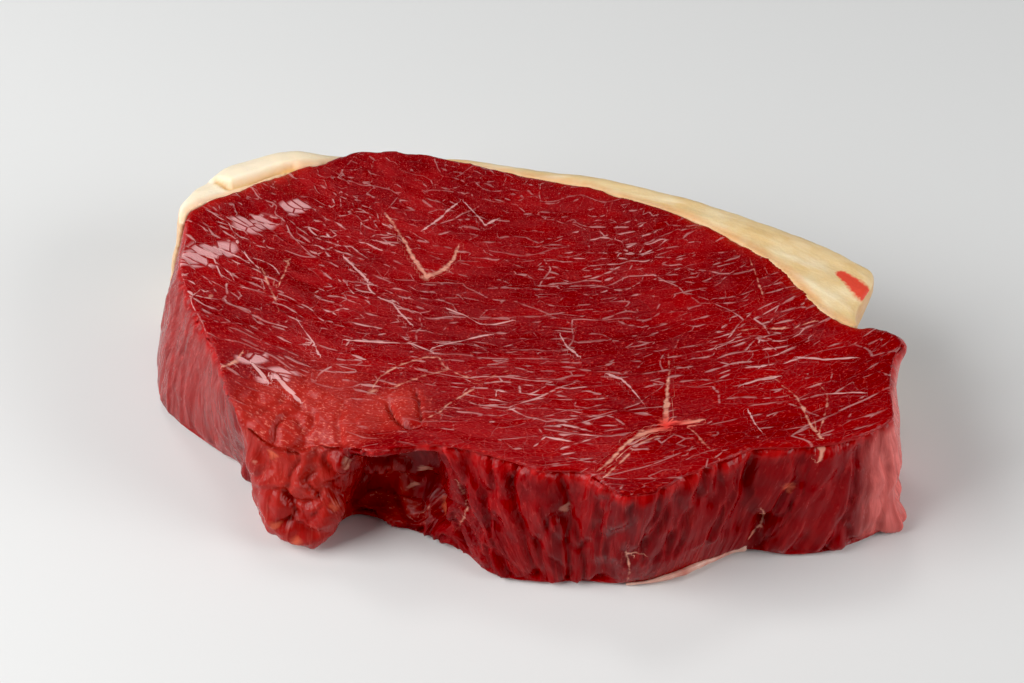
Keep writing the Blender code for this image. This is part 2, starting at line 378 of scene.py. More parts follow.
# Front wall, seen from the front: trenches as corners (x, z), their width and depth.
WALL_TRENCHES = (
    (((-2, 36), (-0.5, 28.5), (1, 23), (3.5, 17), (8, 11), (14, 4)), 0.7, 1.1),
    (((-11.5, 35), (-12.5, 22), (-10, 15), (-6.5, 11), (-2, 6.5), (3, 3)), 0.9, 1.0),
    (((-16, 16), (-14, 7.5), (-11, 2)), 0.7, 1.2),
    (((6, 30), (7.5, 22), (11, 16), (16, 12.5), (20, 19)), 0.7, 0.8),
    (((24, 34), (20, 26), (18, 17), (19, 8)), 0.8, 0.8),
    (((39, 34), (36, 26), (31, 17), (27, 9)), 1.2, 1.2),
    (((46, 35), (44, 27), (39, 18), (33, 8)), 0.8, 0.9),
    (((58, 37), (57.5, 30), (56, 23.5), (50, 8)), 1.2, 1.3),
    (((72.5, 36), (72, 30), (71, 23), (66.5, 15.5), (61, 11)), 0.7, 1.1),
    (((84, 35), (84, 26), (84, 20), (82.5, 12.5), (79, 6)), 0.9, 0.9),
    (((27, 15), (28.5, 8), (28, 3)), 0.4, 0.6),
)
WALL_PIT, PIT_RADIUS = (62.0, 12.5), 1.4  # x, z
WALL_THREADS = (  # corners (x, z) of pale threads on the front wall, half width at each end
    (((27.4, 14.4), (28.4, 9), (28.2, 3.5)), 0.3, 0.2),
    (((27.4, 14.4), (29.5, 14.6), (31.9, 13.7)), 0.35, 0.1),
    (((73.5, 38), (74.8, 36.1), (74, 33.5)), 1.0, 0.6),
    (((61.5, 17), (62.5, 14), (61.5, 10), (59, 6)), 0.45, 0.25),
    (((-14, 26), (-12.5, 21), (-12.8, 15), (-14.5, 9)), 0.15, 0.3),
)
PALE_BITS = (  # x, y, z and radius of pale bits on the walls and in the notch
    (12.5, -61.9, 25.9, 1.5),
    (-36.0, -38.4, 15.3, 1.6),
    (-41.1, -46.9, 27.6, 1.6),
    (-22.6, -41.3, 19.4, 1.9),
    (-25.7, -39.4, 11.1, 1.5),
    (-64.0, -45.0, 24.5, 1.2),
    (61.9, -53.5, 14.5, 1.4),
)
ORANGE_BITS = (  # x, y, z and radius
    (-19.6, -44.5, 8.4, 2.0),
    (67.2, -53.6, 24.8, 2.2),
    (-59.0, -48.5, 9.0, 1.6),
    (-53.9, -51.0, 5.5, 1.9),
    (-46.0, -48.1, 15.3, 1.3),
    (-60.0, -45.5, 27.5, 1.8),
)
RIM_LEAN = 1.3  # how far the wall leans back just under the cut face
NEIGHBOUR_REACH = 6.0  # beyond this far, a neighbour's colour doesn't matter
TABS = (  # x, y, z, reach and height of small torn tips that stick out of the wall
    (96.5, -42.5, 3.0, 3.8, 4.6),
    (98.0, -13.5, 36.0, 3.4, 2.2),
    (-94.5, 14.0, 30.0, 2.8, 2.4),
    (-70.0, -27.5, 2.0, 3.2, 3.2),
    (83.5, -54.5, 2.0, 4.5, 2.0),
)
COLUMN_LEAN_X, COLUMN_NARROW_LEFT, COLUMN_NARROW_RIGHT = 16.5, 0.45, 0.78
COLUMN_UPRIGHT_FROM = (45.0, 97.0)  # right of this the columns stand straight

# Loose flap and notch at the front left.
FLAP = ((-54, -50, 16), (11, 7, 19))  # middle and reach
NOTCH = ((-29, -42, 14), (13, 7, 20))
SLUMP = (-54.0, -40.0)
SAGGING_EDGE = (-54.0, -45.0, 34.0)
CLEFTS = (
    (((-31.5, -34.5), (-30, -39), (-28, -42.5), (-25.5, -44.5), (-22.5, -44)), 0.5, 2.4),
    (((-25, -31), (-23.5, -35.5), (-23, -40), (-22.5, -43)), 0.4, 1.4),
)
VALLEY = ((-32.5, -39.0), (4.0, 6.5))  # a dip in the cut face, and the roll beside it
ROLL = ((-27.0, -37.5), (2.8, 5.0))
NOTCH_ENDS = (  # x, y, z and radius of bundle ends that stand out in the notch
    (-34.5, -39.5, 19.0, 3.6),
    (-28.5, -39.0, 20.5, 3.2),
    (-43.5, -45.5, 27.0, 3.0),
)
NOTCH_HOLE = (-20.0, -43.5, 12.0)
FLAP_LOBES = (  # x, y, z, reach and height
    (-60.5, -48.0, 9.0, (5.0, 6, 8.0), 3.0),
    (-54.0, -51.0, 5.0, (6.5, 6, 4.5), 3.2),
    (-47.0, -49.5, 13.0, (4.0, 6, 7.5), 3.4),
    (-52.5, -47.0, 23.0, (6.0, 6, 6.5), 1.4),
    (-63.0, -44.0, 21.0, (4.5, 6, 7.0), 1.2),
)
FLAP_CREASES = (  # corners (x, z), width and depth
    (((-55, 31), (-53, 26), (-57, 20), (-54, 13), (-57, 6)), 1.1, 1.7),
    (((-49, 27), (-51, 22), (-47, 17), (-51, 11)), 0.9, 1.6),
    (((-64, 15), (-58, 18.5), (-52, 15), (-46, 20), (-43, 20)), 0.9, 1.3),
    (((-45.5, 28), (-44.5, 22), (-43, 12)), 0.9, 1.8),
    (((-63, 29), (-61, 24), (-65, 18)), 0.8, 1.2),
    (((-60, 8), (-54, 10), (-48, 7.5)), 0.8, 1.1),
)


def grain_coordinates(points):
    """Along the bundles, across them and down them, in millimetres."""
    x, y = points[:, 0] - GRAIN_MIDDLE[0], GRAIN_MIDDLE[1] - points[:, 1]
    along = np.arctan2(x, y) * GRAIN_RADIUS
    across = np.hypot(x, y)
    return np.column_stack([along, across, points[:, 2]])


def top_of_column(points):
    """The points of the cut face where the columns that pass through these points end."""
    x, z = points[:, 0], np.clip(points[:, 2] / THICKNESS, 0, 1)
    narrow = np.where(x < COLUMN_LEAN_X, COLUMN_NARROW_LEFT, COLUMN_NARROW_RIGHT)
    leaning = COLUMN_LEAN_X + (x - COLUMN_LEAN_X) / (narrow + (1 - narrow) * z)
    front = smooth_step(-20, -40, points[:, 1]) * smooth_step(-26, -14, x)
    front *= 1 - smooth_step(*COLUMN_UPRIGHT_FROM, x)
    return np.column_stack([x + (leaning - x) * front, points[:, 1], points[:, 2]])


def in_small_muscle(points):
    """1 inside the small muscle at the front edge, fading to 0 over its border."""
    xs, ys = np.array(SMALL_MUSCLE, float).T
    x, y = points[:, 0], points[:, 1]
    inside = smooth_step(-0.6, 0.6, np.interp(x, xs, ys) - y)
    return inside * smooth_step(xs[0], xs[0] + 1, x) * smooth_step(xs[-1], xs[-1] - 1, x)


def column_relief(points):
    """Rounded columns down the wall with dark grooves between them."""
    tops = top_of_column(points)
    shifted = tops + 1.2 * noise(points, (9, 9, 7), 15)[:, None] * (1, 1, 0)
    broad = noise(shifted, (10, 10, 46), 1)
    middle = noise(shifted, (7, 7, 30), 2)
    narrow = noise(shifted, (2.6, 2.6, 18), 3)
    grooves = 1 - smooth_step(0, 0.3, np.abs(middle))
    creases = 1 - smooth_step(0, 0.3, np.abs(narrow))
    lumps = noise(points, (7, 7, 5.5), 16)
    return 1.9 * broad - 1.25 * grooves - 0.12 * creases + 0.15 * narrow + 0.5 * lumps


def under_fat(points):
    """1 where the fat cap lies against the wall, 0 where the wall is bare."""
    x, y = points[:, 0], points[:, 1]
    return np.where(x < -70, smooth_step(28, 34, y), smooth_step(-14, -8, y))


def knob(points, middle, radius, height):
    """A round lump with a crease around its foot."""
    away = np.linalg.norm(points - np.array(middle, float), axis=1) / radius
    dome = height * np.sqrt(np.clip(1 - away**2, 0, 1))
    return dome - 0.3 * height * np.exp(-(((away - 1.08) / 0.16) ** 2))


def lean_relief(points, normals):
    """How far each point of the lean moves out along its normal."""
    x, y, z = points.T
    up = smooth_step(0.45, 0.85, normals[:, 2])
    wall = (1 - up) * smooth_step(-0.75, -0.3, normals[:, 2])
    front = smooth_step(-25, -38, y) * wall
    grain = grain_coordinates(points)

    # The cut face: bundles in low steps, broad folds, the clefts and the dip at the notch.
    face = 0.4 * noise(grain, (14, 5.5, 90), 4) + 0.2 * noise(grain, (5.5, 2.4, 60), 5)
    face += 0.5 * noise(points, (26, 26, 26), 6)
    steps = noise(grain, (9, 4.5, 90), 13)
    face += 0.22 * smooth_step(-0.08, 0.08, steps)
    for line, width, depth in BROAD_FOLDS + CLEFTS:
        face += trench(points[:, :2], line, width, depth)
    face += 0.5 * spot(points, *ROLL) - 1.3 * spot(points, *VALLEY)
    for line, start, end in SEAMS:
        away, share = beside_line(points[:, :2], line)
        width = start + (end - start) * share
        face -= 0.35 * width * np.exp(-((away / (width + 0.35)) ** 2))

    # Where the meat is torn loose, the face sags and crumples.
    slump = spot(points, SLUMP, (13, 12))
    face -= 2.0 * spot(points, SAGGING_EDGE[:2], (13, 5))
    torn = np.abs(noise(points, (7, 6, 7), 7))
    face += slump * (1.5 * smooth_step(0, 0.4, torn) - 1.0 + 0.35 * noise(points, (2.6, 2.6, 2.6), 14))

    # The walls: columns, trenches and a pit, then the inside of the notch.
    flap = spot(points, *FLAP)
    bare = 1 - under_fat(points)
    columns = (0.4 + 0.6 * smooth_step(-25, -38, y)) * (0.3 + 0.7 * bare)
    side = column_relief(points) * columns * (1 - flap)
    for line, width, depth in WALL_TRENCHES:
        side += front * trench(points[:, (0, 2)], line, width, depth)
    side -= front * 2.4 * spot(points[:, (0, 2)], WALL_PIT, (PIT_RADIUS, PIT_RADIUS))
    for ex, ey, ez, radius in NOTCH_ENDS:
        side += knob(points, (ex, ey, ez), radius, 2.2)
    side -= 5.0 * spot(points, NOTCH_HOLE, (3.2, 5, 4.0))

    # The flap's folded lobes.
    drift = np.column_stack([noise(points, (6, 6, 5), seed) for seed in (17, 18, 19)])
    adrift = points + 2.2 * drift
    for lx, ly, lz, reach, height in FLAP_LOBES:
        side += height * spot(adrift, (lx, ly, lz), reach)
    creased = adrift[:, (0, 2)]
    for line, width, depth in FLAP_CREASES:
        side += flap**0.5 * front * trench(creased, line, width, depth)
    side += flap * (0.8 * noise(points, (3, 3, 3), 9) + 0.5 * noise(points, (1.7, 1.7, 1.7), 20))

    # The ragged foot, the rim and the torn tips. The wall is calm behind the lip of fat.
    foot = 1 - smooth_step(0, 7, z)
    side += foot * (1.1 * noise(points, (8, 8, 20), 10) + 0.5 * noise(points, (3.2, 3.2, 9), 11))
    side -= bare * (1 - slump) * RIM_LEAN * smooth_step(THICKNESS - 5, THICKNESS, z) ** 2
    for tx, ty, tz, reach, height in TABS:
        side += height * spot(points, (tx, ty, tz), (reach, reach, reach))
    side *= 1 - smooth_step(25, 28, x) * smooth_step(61, 58, x) * smooth_step(12, 9, z) * front

    scallops = 0.5 * noise(points, (4.5, 4.5, 4.5), 12) + 0.55 * noise(points, (9, 9, 9), 25)
    rim = bare * (1 - slump) * scallops * smooth_step(THICKNESS - 6, THICKNESS - 1, z) * (1 - up)
    return up * face + wall * side + rim


def nearest_line(points, lines, reach):
    """(signed distance, half width) of the nearest line that is closer than the reach."""
    gap = np.full(len(points), 9.0)
    width = np.zeros(len(points))
    for line, start, end in lines:
        away, share = beside_line(points, line)
        closer = (np.abs(away) < np.abs(gap)) & (np.abs(away) < reach)
        gap = np.where(closer, away, gap)
        width = np.where(closer, start + (end - start) * share, width)
    return gap, width


def distance_to(node, points):
    """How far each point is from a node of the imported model, up to NEIGHBOUR_REACH."""
    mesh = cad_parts[node].data
    faces = [list(face.vertices) for face in mesh.polygons]
    surface = BVHTree.FromPolygons(points_of(mesh).tolist(), faces)
    found = [surface.find_nearest(point, NEIGHBOUR_REACH)[3] for point in points.tolist()]
    return np.array([NEIGHBOUR_REACH if away is None else away for away in found])


def lean_marks(points, normals):
    """The values that the lean's material reads, by name."""
    up = smooth_step(0.3, 0.6, normals[:, 2])
    wall = 1 - smooth_step(0.3, 0.75, np.abs(normals[:, 2]))
    front = wall * smooth_step(-20, -30, points[:, 1])
    gap, width = nearest_line(points[:, :2], SEAMS, 1.8)
    thread_gap, thread_width = nearest_line(points[:, (0, 2)], WALL_THREADS, 1.8)
    on_wall = front > 0.5
    width = np.where(on_wall, thread_width, width * up)
    on_face = [((x, y), (radius, radius)) for x, y, radius in PALE_SPOTS]
    on_walls = [((x, y, z), (radius, radius * 2, radius)) for x, y, z, radius in PALE_BITS]
    orange = [((x, y, z), (radius, radius * 2, radius)) for x, y, z, radius in ORANGE_BITS]
    crowded = [((x, y), (reach, reach)) for x, y, reach in CROWDED]
    # Flat bundle ends where pale highlights are painted.
    painted_highlight_patch = [((x, y), (reach * 1.3, reach * 0.8)) for x, y, reach in PAINTED_HIGHLIGHT_PATCHES]
    skin_and_glint_gap, skin_and_glint_width = nearest_line(points[:, :2], SKIN_AND_GLINT_LINES, 1.8)
    # Pale pink on both end walls: partly a half dry film, partly a painted sheen where the walls would
    # reflect the pale floor.
    film_and_painted_sheen = np.maximum(smooth_step(84, 94, points[:, 0]), 0.2 * smooth_step(-66, -78, points[:, 0]))
    loose = spot(points, SLUMP, (17, 15)) * 1.3
    loose = np.maximum(loose, spot(points, (-31, -38), (11, 8)) * 0.9)
    at_rim = smooth_step(THICKNESS - 5.5, THICKNESS - 1.5, points[:, 2])
    return {
        "grain": grain_coordinates(top_of_column(points)),
        "wall": wall,
        "small_muscle": in_small_muscle(points) * up,
        "seam_gap": np.where(on_wall, thread_gap, gap),
        "seam_width": width,
        "pale": np.maximum(up * most_of(points, on_face), wall * most_of(points, on_walls)),
        "orange": wall * most_of(points, orange),
        "crowded": most_of(points, crowded),
        "painted_highlight_patch": up * most_of(points, painted_highlight_patch),
        "rim": smooth_step(0.9, 0.6, normals[:, 2]) * at_rim,
        "star": spot(points, STAR, (5.5, 3.0)) * up,
        "skin_and_glint_gap": skin_and_glint_gap,
        "skin_and_glint_width": skin_and_glint_width * up,
        "beside_fat": up * smooth_step(4.5, 0.5, distance_to("fat_cap", points)),
        "film_and_painted_sheen": film_and_painted_sheen * wall * smooth_step(THICKNESS, THICKNESS - 5, points[:, 2]),
        "slump": np.clip(loose, 0, 1),
        # The notch, where shade is painted.
        "notch_shade": spot(points, *NOTCH),
    }


def bundle_pattern(add, grain, size):
    """Cells of this size in millimetres, with the real distance from the edge between two cells.

    Gives sockets: the offset from the cell's middle in millimetres, the cell's random colour, the
    distance to the edge in millimetres, a random number that belongs to that edge, and how much
    the edge lies along the grain, from 0 to 1.
    """
    shrink = tuple(1 / side for side in size)
    place = add(VECTOR_MATH, (grain, shrink), operation="MULTIPLY")
    cells = {"Vector": place, "Scale": 1.0, "Randomness": 0.9}
    own = add(VORONOI, cells, None, feature="F1")
    other = add(VORONOI, cells, None, feature="F2")
    own_place, other_place = own["Position"], other["Position"]
    across = add(VECTOR_MATH, (own_place, other_place), operation="SUBTRACT")
    sides = add(VECTOR_MATH, (own_place, other_place), operation="ADD")
    middle = add(VECTOR_MATH, (sides, (0.5, 0.5, 0.5)), operation="MULTIPLY")
    off_edge = add(VECTOR_MATH, (place, middle), operation="SUBTRACT")
    reach = add(VECTOR_MATH, (off_edge, across), "Value", operation="DOT_PRODUCT")
    steepness = add(VECTOR_MATH, (across, shrink), operation="MULTIPLY")
    length = add(VECTOR_MATH, (steepness,), "Value", operation="LENGTH")
    distance = add(MATH, (reach, length), operation="DIVIDE")
    lies_along = add(MATH, (add("ShaderNodeSeparateXYZ", (steepness,), 1), length), operation="DIVIDE")
    lies_along = add(MATH, (lies_along,), operation="ABSOLUTE")
    both = add(VECTOR_MATH, (own["Color"], other["Color"]), operation="ADD")
    chance = add(MATH, (add("ShaderNodeSeparateXYZ", (both,)), 7.31), operation="MULTIPLY")
    chance = add(MATH, (chance,), operation="FRACT")
    off_cell = add(VECTOR_MATH, (place, own_place), operation="SUBTRACT")
    off_cell = add(VECTOR_MATH, (off_cell, size), operation="MULTIPLY")
    return off_cell, own["Color"], distance, chance, lies_along


def lean_material(settings):
    """Raw beef cut across its fibres with a knife, moist with its own juice.

    The knife leaves the bundles of fibre as small facets, about 6 by 2 mm on the cut face, and
    as standing columns on the walls. The skins between the bundles stand up a little and catch
    the light. They are painted pale, partly in their own colour and partly as painted glints, so
    the deep red is broken up by short pale streaks that lie along the grain.
    """
    material, add = empty_material("raw_beef_cut_across_the_grain")
    names = ("wall", "small_muscle", "seam_gap", "seam_width", "pale", "orange")
    names += ("crowded", "painted_highlight_patch", "rim", "star", "slump", "notch_shade")
    names += ("skin_and_glint_gap", "skin_and_glint_width", "beside_fat", "film_and_painted_sheen")
    mark = {name: add("ShaderNodeAttribute", {}, "Fac", attribute_name=name) for name in names}
    grain = add("ShaderNodeAttribute", {}, "Vector", attribute_name="grain")
    fade = {"interpolation_type": "SMOOTHSTEP"}
    face = add(MATH, (1.0, mark["wall"]), operation="SUBTRACT")
    cloud = noises(
        add,
        grain,
        (
            ("fibre", (0.55, 0.45, 9.0), 3.0),  # dots on the face, threads down the walls
            ("thread", (0.9, 0.9, 22.0), 3.0),
            ("column", (3.6, 3.6, 50.0), 2.0),
            ("patch", (24.0, 14.0, 60.0), 3.0),
            ("blotch", (6.0, 4.0, 16.0), 2.0),
            ("dash", (3.4, 1.3, 40.0), 1.0),
            ("crumb", (1.3, 1.3, 1.3), 2.0),
        ),
    )

    # The grain is stirred a little, so that no two rows of bundles are alike.
    stir = add(NOISE, {"Vector": grain, "Scale": 0.1, "Detail": 1.0}, "Color")
    stir = add(VECTOR_MATH, (stir, (0.5, 0.5, 0.5)), operation="SUBTRACT")
    stir = add(VECTOR_MATH, (stir, (5.5, 4.5, 0.0)), operation="MULTIPLY")
    stirred = add(VECTOR_MATH, (grain, stir), operation="ADD")
    bundle_size = (settings.bundle_length, settings.bundle_width, 70.0)
    offset, tint, edge, chance, lies_along = bundle_pattern(add, stirred, bundle_size)
    _, large_tint, large_edge, large_chance, _ = bundle_pattern(add, stirred, (19.0, 10.0, 120.0))
    _, _, round_edge, round_chance, _ = bundle_pattern(add, grain, (2.6, 2.2, 60.0))
    red, green, blue = add("ShaderNodeSeparateColor", (tint,), None)
    large_red = add("ShaderNodeSeparateColor", (large_tint,))

    # Skins between bundles, painted pale partly in their own colour and partly as painted glints. Those
    # along the grain show most, and each swells and thins out.
    rate = add(MATH, (mark["crowded"], 0.5, chance), operation="MULTIPLY_ADD")
    rate = add(MATH, (large_red, 0.5, rate), operation="MULTIPLY_ADD")
    shown = add(MAP_RANGE, (rate, 0.78, 1.06), **fade)
    along = add(MAP_RANGE, (lies_along, 0.7, 0.95, 0.5, 1.0), **fade)
    shown = add(MATH, (shown, along), operation="MULTIPLY")
    swelling = add(MAP_RANGE, (cloud["dash"], 0.42, 0.66), **fade)
    swelling = add(MATH, (swelling, shown), operation="MULTIPLY")
    in_other = add(MATH, (1.0, mark["small_muscle"]), operation="SUBTRACT")
    swelling = add(MATH, (swelling, in_other), operation="MULTIPLY")
    near = add(MATH, (swelling, -settings.skin_and_glint_width, edge), operation="MULTIPLY_ADD")
    near = add(MAP_RANGE, (near, 0.06, -0.16), **fade)

    long_skin_and_glint = add(MAP_RANGE, (large_chance, 0.45, 0.7), **fade)
    gaps = add(MAP_RANGE, (cloud["dash"], 0.36, 0.5), **fade)
    long_skin_and_glint = add(MATH, (long_skin_and_glint, gaps), operation="MULTIPLY")
    long_skin_and_glint = add(MATH, (long_skin_and_glint, -0.22, large_edge), operation="MULTIPLY_ADD")
    long_skin_and_glint = add(MAP_RANGE, (long_skin_and_glint, 0.06, -0.16), **fade)

    round_skin_and_glint = add(MAP_RANGE, (round_chance, 0.5, 0.9), **fade)
    round_skin_and_glint = add(MATH, (round_skin_and_glint, mark["small_muscle"]), operation="MULTIPLY")
    round_skin_and_glint = add(MATH, (round_skin_and_glint, gaps), operation="MULTIPLY")
    round_skin_and_glint = add(MATH, (round_skin_and_glint, -0.16, round_edge), operation="MULTIPLY_ADD")
    round_skin_and_glint = add(MAP_RANGE, (round_skin_and_glint, 0.06, -0.12), **fade)

    drawn_gap = add(MATH, (mark["skin_and_glint_gap"],), operation="ABSOLUTE")
    drawn = add(MAP_RANGE, (cloud["dash"], 0.3, 0.6, 0.3, 1.15), **fade)
    drawn = add(MATH, (drawn, mark["skin_and_glint_width"]), operation="MULTIPLY")
    drawn = add(MATH, (drawn_gap, drawn), operation="SUBTRACT")
    drawn = add(MAP_RANGE, (drawn, 0.05, -0.12), **fade)

    calm = add(MAP_RANGE, (mark["slump"], 0.2, 0.9, 1.0, 0.1), **fade)
    calm = add(MATH, (calm, face), operation="MULTIPLY")
    open_place = add(MATH, (1.0, mark["notch_shade"]), operation="SUBTRACT")
    calm = add(MATH, (calm, open_place), operation="MULTIPLY")
    skins = add(MATH, (near, long_skin_and_glint), operation="MAXIMUM")
    skins = add(MATH, (skins, round_skin_and_glint), operation="MAXIMUM")
    skins = add(MATH, (skins, calm), operation="MULTIPLY")
    drawn = add(MATH, (drawn, 0.7), operation="MULTIPLY")
    ridge = add(MAP_RANGE, (edge, 0.7, 0.0), **fade)
    ridge = add(MATH, (ridge, shown), operation="MULTIPLY")

    # Relief, in millimetres.
    way = add(VECTOR_MATH, (tint, (0.5, 0.5, 0.5)), operation="SUBTRACT")
    tilt = add(VECTOR_MATH, (offset, way), "Value", operation="DOT_PRODUCT")
    tilt = add(MATH, (tilt, face), operation="MULTIPLY")
    height = add(MATH, (tilt, settings.facet_tilt), operation="MULTIPLY")
    height = add(MATH, (ridge, settings.ridge_height, height), operation="MULTIPLY_ADD")
    height = add(MATH, (cloud["fibre"], 0.2, height), operation="MULTIPLY_ADD")
    for name, depth in (("thread", 0.45), ("column", 0.8)):
        on_wall = add(MATH, (mark["wall"], depth), operation="MULTIPLY")
        rise = add(MATH, (cloud[name], 0.5), operation="SUBTRACT")
        height = add(MATH, (rise, on_wall, height), operation="MULTIPLY_ADD")
    bump = add("ShaderNodeBump", {"Strength": 1.0, "Distance": MM, "Height": height})

    # Seams of fat: a ragged band on both sides of each line, and bits beside them.
    seam = add(MATH, (mark["seam_gap"],), operation="ABSOLUTE")
    seam = add(MATH, (mark["seam_width"], seam), operation="SUBTRACT")
    ragged = add(MATH, (cloud["crumb"], 0.5), operation="SUBTRACT")
    seam = add(MATH, (ragged, 1.7, seam), operation="MULTIPLY_ADD")
    seam = add(MAP_RANGE, (seam, -0.1, 0.45), **fade)
    has_seam = add(MATH, (mark["seam_width"], 0.02), operation="GREATER_THAN")
    seam = add(MATH, (seam, has_seam), operation="MULTIPLY")
    broken = add(MAP_RANGE, (cloud["dash"], 0.3, 0.55, 0.35, 0.9), **fade)
    seam = add(MATH, (seam, broken), operation="MULTIPLY")
    bits = add(MATH, (ragged, 1.6, mark["pale"]), operation="MULTIPLY_ADD")
    bits = add(MAP_RANGE, (bits, 0.4, 1.0, 0.0, 0.65), **fade)
    seam = add(MATH, (seam, bits), operation="MAXIMUM")

    # Painted highlights: pale pink patches on flat bundle ends, where they would reflect the light.
    inside = add(MAP_RANGE, (edge, 0.1, 0.35), **fade)
    painted_highlight_patch = add(MATH, (blue, 0.7, mark["painted_highlight_patch"]), operation="MULTIPLY_ADD")
    painted_highlight_patch = add(MAP_RANGE, (painted_highlight_patch, 0.78, 1.05, 0.0, 0.7), **fade)
    painted_highlight_patch = add(MATH, (painted_highlight_patch, inside), operation="MULTIPLY")

    # The face and the walls, from the deepest colour up.
    darker = add(MAP_RANGE, (red, 0.0, 1.0, 0.0, 0.4))
    darker_group = add(MAP_RANGE, (large_red, 0.35, 1.0, 0.0, 0.4))
    dots = add(MAP_RANGE, (cloud["fibre"], 0.54, 0.74, 0.0, 0.6), **fade)
    dots = add(MATH, (dots, add(MAP_RANGE, (mark["wall"], 0.0, 1.0, 1.0, 0.2))), operation="MULTIPLY")
    loose_dots = add(MATH, (dots, mark["slump"]), operation="MULTIPLY")
    # Painted shade in the grooves between the wall's columns, where the bump is lowest.
    groove_painted_shade = add(MAP_RANGE, (cloud["column"], 0.36, 0.56, 0.5, 0.0), **fade)
    groove_painted_shade = add(MATH, (groove_painted_shade, mark["wall"]), operation="MULTIPLY")
    # Painted sheen: pale threads where the bump's threads stand up, partly the threads' own colour.
    pale_thread_and_painted_sheen = add(MAP_RANGE, (cloud["thread"], 0.52, 0.72, 0.0, 0.4), **fade)
    pale_thread_and_painted_sheen = add(MATH, (pale_thread_and_painted_sheen, mark["wall"]), operation="MULTIPLY")
    rim = add(MAP_RANGE, (cloud["thread"], 0.35, 0.6, 0.25, 0.95), **fade)
    rim = add(MATH, (rim, mark["rim"]), operation="MULTIPLY")
    loose = add(MATH, (cloud["blotch"], 0.7, mark["slump"]), operation="MULTIPLY_ADD")
    loose = add(MATH, (mark["wall"], -0.3, loose), operation="MULTIPLY_ADD")
    loose = add(MAP_RANGE, (loose, 0.45, 1.15, 0.0, 0.8), **fade)
    wall = add(MATH, (mark["wall"], 0.45), operation="MULTIPLY")
    # Painted shade inside the notch.
    notch_shade = add(MATH, (mark["notch_shade"], 0.3), operation="MULTIPLY")
    # Half dry film and painted sheen on the end walls.
    film_and_painted_sheen = add(MAP_RANGE, (cloud["thread"], 0.3, 0.65, 0.5, 0.85), **fade)
    film_and_painted_sheen = add(MATH, (film_and_painted_sheen, mark["film_and_painted_sheen"]), operation="MULTIPLY")
    beside_fat = add(MATH, (mark["beside_fat"], 0.7), operation="MULTIPLY")
    orange = add(MATH, (ragged, 1.4, mark["orange"]), operation="MULTIPLY_ADD")
    orange = add(MAP_RANGE, (orange, 0.35, 1.1, 0.0, 0.6), **fade)
    # Painted glints: the skins are painted pale, partly in their own colour and partly as glints.
    skin_and_painted_glint = add(MAP_RANGE, (green, 0.0, 1.0, 0.3, 1.0))
    strength = add(MAP_RANGE, (mark["crowded"], 0.2, 1.0, 0.45, 0.95))
    strength = add(MATH, (strength, settings.skin_and_glint_strength), operation="MULTIPLY")
    skin_and_painted_glint = add(MATH, (skin_and_painted_glint, strength), operation="MULTIPLY")
    skin_and_painted_glint = add(MATH, (skin_and_painted_glint, skins), operation="MULTIPLY")
    skin_and_painted_glint = add(MATH, (skin_and_painted_glint, drawn), operation="MAXIMUM")
    patch = add(MAP_RANGE, (cloud["patch"], 0.35, 0.65), **fade)
    colour = layered(
        add,
        rgba(settings.deep_red),
        (
            (patch, rgba(settings.bright_red)),
            (beside_fat, rgba(srgb("b81c14"))),
            (darker, rgba(srgb("70020a"))),
            (darker_group, rgba(srgb("74020a"))),
            (wall, rgba(srgb("740409"))),
            # painted shade in the column grooves
            (groove_painted_shade, rgba(srgb("540208"))),
            # painted sheen on the raised wall threads
            (pale_thread_and_painted_sheen, rgba(srgb("b02828"))),
            (film_and_painted_sheen, rgba(settings.film_and_painted_sheen_colour)),
            (rim, rgba(settings.rim_red)),
            (loose, rgba(settings.loose_red)),
            (dots, rgba(srgb("cc3a30"))),
            (loose_dots, rgba(srgb("e88a78"))),
            # painted shade in the notch
            (notch_shade, rgba(srgb("520408"))),
            (orange, rgba(srgb("dc6a4c"))),
            # pale skins and their painted glints
            (skin_and_painted_glint, rgba(settings.skin_colour)),
            # painted highlights on flat bundle ends
            (painted_highlight_patch, rgba(srgb("e4acac"))),
        ),
    )
    fat = layered(add, rgba(settings.seam_colour), ((mark["star"], rgba(srgb("f04038"))),))
    colour = layered(add, colour, ((seam, fat),))

    surface = add(
        "ShaderNodeBsdfPrincipled",
        {
            "Base Color": colour,
            "Roughness": add(MAP_RANGE, (cloud["fibre"], 0.3, 0.7, 0.16, 0.28), **fade),
            "IOR": 1.38,
            "Specular IOR Level": 0.25,
            "Subsurface Weight": 0.12,
            "Subsurface Radius": (3.0, 0.5, 0.4),
            "Subsurface Scale": MM,
            "Normal": bump,
        },
    )
    add("ShaderNodeOutputMaterial", {"Surface": surface}, None)
    return material


# ---------------------------------------------------------------------------------------------
# Fat

FAT_FOLD = ((-83, 52), (-79, 49.5), (-73, 52), (-67, 55.5), (-62, 57))
FAT_INCLUSION = ((86.6, 12.2), (89.2, 8.4), (91.4, 4.6))
FAT_MIDDLE_Y, FAT_RADIUS = -75.0, 130.0  # the strip bends around this point
INTO_LEAN = 0.7  # how far it presses into the lean, so that no gap shows
SEAM_FAT_FACE = 0.4  # size of the mesh's faces on the thin lip


def strip_coordinates(points):
    """Along the fat's strip, across it and up, in millimetres."""
    x, y = points[:, 0], points[:, 1] - FAT_MIDDLE_Y
    return np.column_stack([np.arctan2(x, y) * FAT_RADIUS, np.hypot(x, y), points[:, 2]])


